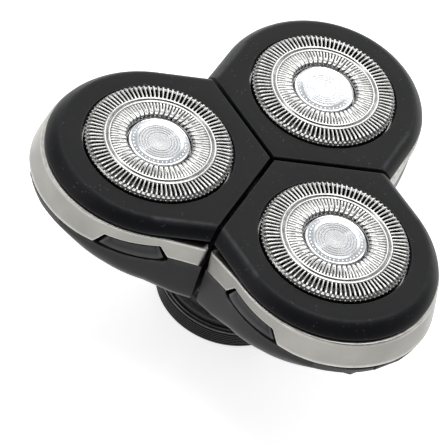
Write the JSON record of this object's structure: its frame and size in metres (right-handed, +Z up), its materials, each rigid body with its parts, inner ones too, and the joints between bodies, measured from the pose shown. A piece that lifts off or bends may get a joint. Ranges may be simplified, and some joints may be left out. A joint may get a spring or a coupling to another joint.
{
  "type": "rotary electric shaver head",
  "caption": "Rotary shaver head with floating lobes, slotted guards, spinning cutters, hinged lids with release buttons, and a gimballed plug-in neck",
  "frame": {"origin": "centre of the seat plane under the neck collar, on the drive axis, at the face of the drive coupling", "axes": "+Z up along the drive axis towards the shaving faces; one lobe points to -X, the others to +60 and -60 degrees from +X"},
  "size_m": [0.0656, 0.071, 0.035],
  "materials": {
    "collar_black": "semi-gloss",
    "rubber_black": "matt, ribbed",
    "steel": "fine turned",
    "acetal_white": "satin",
    "grey_plastic": "matt",
    "brass": "plain",
    "lid_black": "fine grain",
    "shell_dark": "semi-gloss",
    "hinge_black": "matt",
    "trim_satin": "satin champagne grey",
    "button_dark": "satin",
    "guard_steel": "ground",
    "disc_polished": "polished",
    "tray_black": "matt"
  },
  "bodies": {
    "neck": {"neck_collar": "collar_black", "neck_boot": "rubber_black"},
    "coupler": {"drive_coupler": "acetal_white"},
    "gimbal": {"gimbal_ring": "grey_plastic"},
    "head": {"gearbox_pan": "grey_plastic", "gearbox_cover": "grey_plastic", "shaft_bush": "brass", "gearbox_screw_1": "steel", "gearbox_screw_2": "steel", "gearbox_screw_3": "steel", "tilt_pin_1": "steel", "tilt_pin_2": "steel", "tilt_pin_3": "steel"},
    "sun": {"sun_gear": "acetal_white"},
    "planet_1": {"planet_gear_1": "acetal_white"},
    "lobe_1": {"lower_shell_1": "shell_dark", "chamber_tray_1": "tray_black", "hinge_block_1": "hinge_black", "lid_hinge_pin_1": "steel", "spindle_spring_1": "steel"},
    "spindle_1": {"drive_spindle_1": "acetal_white"},
    "lid_1": {"lid_frame_1": "hinge_black", "lid_cover_1": "lid_black", "silver_trim_1": "trim_satin"},
    "guard_1": {"shaving_guard_1": "guard_steel", "centre_disc_1": "disc_polished"},
    "blades_1": {"cutter_1": "steel"},
    "button_1a": {"release_button_1a": "button_dark"},
    "button_1b": {"release_button_1b": "button_dark"},
    "planet_2": {"planet_gear_2": "acetal_white"},
    "lobe_2": {"lower_shell_2": "shell_dark", "chamber_tray_2": "tray_black", "hinge_block_2": "hinge_black", "lid_hinge_pin_2": "steel", "spindle_spring_2": "steel"},
    "spindle_2": {"drive_spindle_2": "acetal_white"},
    "lid_2": {"lid_frame_2": "hinge_black", "lid_cover_2": "lid_black", "silver_trim_2": "trim_satin"},
    "guard_2": {"shaving_guard_2": "guard_steel", "centre_disc_2": "disc_polished"},
    "blades_2": {"cutter_2": "steel"},
    "button_2a": {"release_button_2a": "button_dark"},
    "button_2b": {"release_button_2b": "button_dark"},
    "planet_3": {"planet_gear_3": "acetal_white"},
    "lobe_3": {"lower_shell_3": "shell_dark", "chamber_tray_3": "tray_black", "hinge_block_3": "hinge_black", "lid_hinge_pin_3": "steel", "spindle_spring_3": "steel"},
    "spindle_3": {"drive_spindle_3": "acetal_white"},
    "lid_3": {"lid_frame_3": "hinge_black", "lid_cover_3": "lid_black", "silver_trim_3": "trim_satin"},
    "guard_3": {"shaving_guard_3": "guard_steel", "centre_disc_3": "disc_polished"},
    "blades_3": {"cutter_3": "steel"},
    "button_3a": {"release_button_3a": "button_dark"},
    "button_3b": {"release_button_3b": "button_dark"}
  },
  "joints": [
    {"name": "drive_spin", "type": "hinge", "parent": "neck", "child": "coupler", "pos_m": [0, 0, 0], "axis": [0, 0, 1], "continuous": true},
    {"name": "neck_roll", "type": "hinge", "parent": "neck", "child": "gimbal", "pos_m": [0, 0, 0.0085], "axis": [1, 0, 0], "range_deg": [-5, 5], "stiffness_Nm_per_rad": 0.4},
    {"name": "neck_pitch", "type": "hinge", "parent": "gimbal", "child": "head", "pos_m": [0, 0, 0.0085], "axis": [0, 1, 0], "range_deg": [-5, 5], "stiffness_Nm_per_rad": 0.4},
    {"name": "sun_spin", "type": "hinge", "parent": "head", "child": "sun", "pos_m": [0, 0, 0.0232], "axis": [0, 0, 1], "continuous": true},
    {"name": "planet_spin_1", "type": "hinge", "parent": "head", "child": "planet_1", "pos_m": [-0.0186, 0, 0.0232], "axis": [0, 0, 1], "continuous": true},
    {"name": "lobe_tilt_1", "type": "hinge", "parent": "head", "child": "lobe_1", "pos_m": [-0.0124, 0, 0.0156], "axis": [0, -1, 0], "range_deg": [0, 5], "stiffness_Nm_per_rad": 0.5},
    {"name": "spindle_spin_1", "type": "hinge", "parent": "lobe_1", "child": "spindle_1", "pos_m": [-0.0186, 0, 0.025], "axis": [0, 0, 1], "continuous": true},
    {"name": "lid_open_1", "type": "hinge", "parent": "lobe_1", "child": "lid_1", "pos_m": [-0.0352, 0, 0.0237], "axis": [0, -1, 0], "range_deg": [0, 95]},
    {"name": "guard_float_1", "type": "slide", "parent": "lid_1", "child": "guard_1", "axis": [0, 0, -1], "range_m": [0, 0.0009], "stiffness_N_per_m": 800},
    {"name": "cutter_spin_1", "type": "hinge", "parent": "guard_1", "child": "blades_1", "pos_m": [-0.0186, 0, 0.0313], "axis": [0, 0, 1], "continuous": true},
    {"name": "button_press_1a", "type": "slide", "parent": "lobe_1", "child": "button_1a", "axis": [0.1736, -0.9848, 0], "range_m": [0, 0.0007], "stiffness_N_per_m": 600},
    {"name": "button_press_1b", "type": "slide", "parent": "lobe_1", "child": "button_1b", "axis": [0.1736, 0.9848, 0], "range_m": [0, 0.0007], "stiffness_N_per_m": 600},
    {"name": "planet_spin_2", "type": "hinge", "parent": "head", "child": "planet_2", "pos_m": [0.0093, 0.01611, 0.0232], "axis": [0, 0, 1], "continuous": true},
    {"name": "lobe_tilt_2", "type": "hinge", "parent": "head", "child": "lobe_2", "pos_m": [0.0062, 0.01074, 0.0156], "axis": [-0.866, 0.5, 0], "range_deg": [0, 5], "stiffness_Nm_per_rad": 0.5},
    {"name": "spindle_spin_2", "type": "hinge", "parent": "lobe_2", "child": "spindle_2", "pos_m": [0.0093, 0.01611, 0.025], "axis": [0, 0, 1], "continuous": true},
    {"name": "lid_open_2", "type": "hinge", "parent": "lobe_2", "child": "lid_2", "pos_m": [0.0176, 0.03048, 0.0237], "axis": [-0.866, 0.5, 0], "range_deg": [0, 95]},
    {"name": "guard_float_2", "type": "slide", "parent": "lid_2", "child": "guard_2", "axis": [0, 0, -1], "range_m": [0, 0.0009], "stiffness_N_per_m": 800},
    {"name": "cutter_spin_2", "type": "hinge", "parent": "guard_2", "child": "blades_2", "pos_m": [0.0093, 0.01611, 0.0313], "axis": [0, 0, 1], "continuous": true},
    {"name": "button_press_2a", "type": "slide", "parent": "lobe_2", "child": "button_2a", "axis": [-0.9397, 0.342, 0], "range_m": [0, 0.0007], "stiffness_N_per_m": 600},
    {"name": "button_press_2b", "type": "slide", "parent": "lobe_2", "child": "button_2b", "axis": [0.766, -0.6428, 0], "range_m": [0, 0.0007], "stiffness_N_per_m": 600},
    {"name": "planet_spin_3", "type": "hinge", "parent": "head", "child": "planet_3", "pos_m": [0.0093, -0.01611, 0.0232], "axis": [0, 0, 1], "continuous": true},
    {"name": "lobe_tilt_3", "type": "hinge", "parent": "head", "child": "lobe_3", "pos_m": [0.0062, -0.01074, 0.0156], "axis": [0.866, 0.5, 0], "range_deg": [0, 5], "stiffness_Nm_per_rad": 0.5},
    {"name": "spindle_spin_3", "type": "hinge", "parent": "lobe_3", "child": "spindle_3", "pos_m": [0.0093, -0.01611, 0.025], "axis": [0, 0, 1], "continuous": true},
    {"name": "lid_open_3", "type": "hinge", "parent": "lobe_3", "child": "lid_3", "pos_m": [0.0176, -0.03048, 0.0237], "axis": [0.866, 0.5, 0], "range_deg": [0, 95]},
    {"name": "guard_float_3", "type": "slide", "parent": "lid_3", "child": "guard_3", "axis": [0, 0, -1], "range_m": [0, 0.0009], "stiffness_N_per_m": 800},
    {"name": "cutter_spin_3", "type": "hinge", "parent": "guard_3", "child": "blades_3", "pos_m": [0.0093, -0.01611, 0.0313], "axis": [0, 0, 1], "continuous": true},
    {"name": "button_press_3a", "type": "slide", "parent": "lobe_3", "child": "button_3a", "axis": [0.766, 0.6428, 0], "range_m": [0, 0.0007], "stiffness_N_per_m": 600},
    {"name": "button_press_3b", "type": "slide", "parent": "lobe_3", "child": "button_3b", "axis": [-0.9397, -0.342, 0], "range_m": [0, 0.0007], "stiffness_N_per_m": 600}
  ],
  "couplings": [
    {"joint": "sun_spin", "follows": "drive_spin", "ratio": 1},
    {"joint": "planet_spin_1", "follows": "drive_spin", "ratio": -1.2857},
    {"joint": "spindle_spin_1", "follows": "drive_spin", "ratio": -1.2857},
    {"joint": "cutter_spin_1", "follows": "drive_spin", "ratio": -1.2857},
    {"joint": "planet_spin_2", "follows": "drive_spin", "ratio": -1.2857},
    {"joint": "spindle_spin_2", "follows": "drive_spin", "ratio": -1.2857},
    {"joint": "cutter_spin_2", "follows": "drive_spin", "ratio": -1.2857},
    {"joint": "planet_spin_3", "follows": "drive_spin", "ratio": -1.2857},
    {"joint": "spindle_spin_3", "follows": "drive_spin", "ratio": -1.2857},
    {"joint": "cutter_spin_3", "follows": "drive_spin", "ratio": -1.2857}
  ]
}
